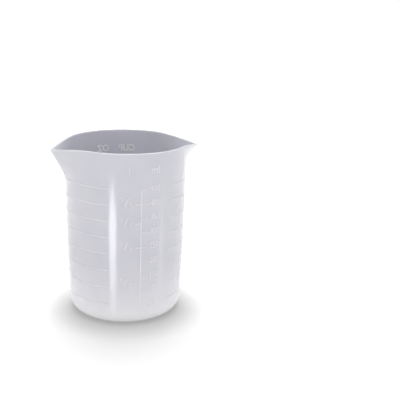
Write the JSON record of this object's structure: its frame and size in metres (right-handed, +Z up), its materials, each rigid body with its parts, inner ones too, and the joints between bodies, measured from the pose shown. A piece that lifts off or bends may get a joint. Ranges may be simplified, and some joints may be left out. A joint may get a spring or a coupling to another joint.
{
  "type": "resin mixing cup",
  "caption": "Round translucent silicone mixing cup with a rounded foot, two opposite pour spouts and raised volume scales on its wall.",
  "frame": {"origin": "centre of the foot, on the surface that the cup stands on", "axes": "+Z up; the two spouts point along +X and -X; the millilitre scale faces -Y"},
  "size_m": [0.105, 0.0866, 0.122],
  "materials": {
    "silicone": "frosted translucent silicone rubber, satin",
    "raised_silicone": "the same silicone, raised in the mould and polished a little"
  },
  "bodies": {
    "root": {"cup_body": "silicone", "front_scale_line": "raised_silicone", "millilitre_ticks": "raised_silicone", "litre_ticks": "raised_silicone", "back_scale_line": "raised_silicone", "ounce_lines_left": "raised_silicone", "ounce_lines_right": "raised_silicone"}
  },
  "joints": []
}
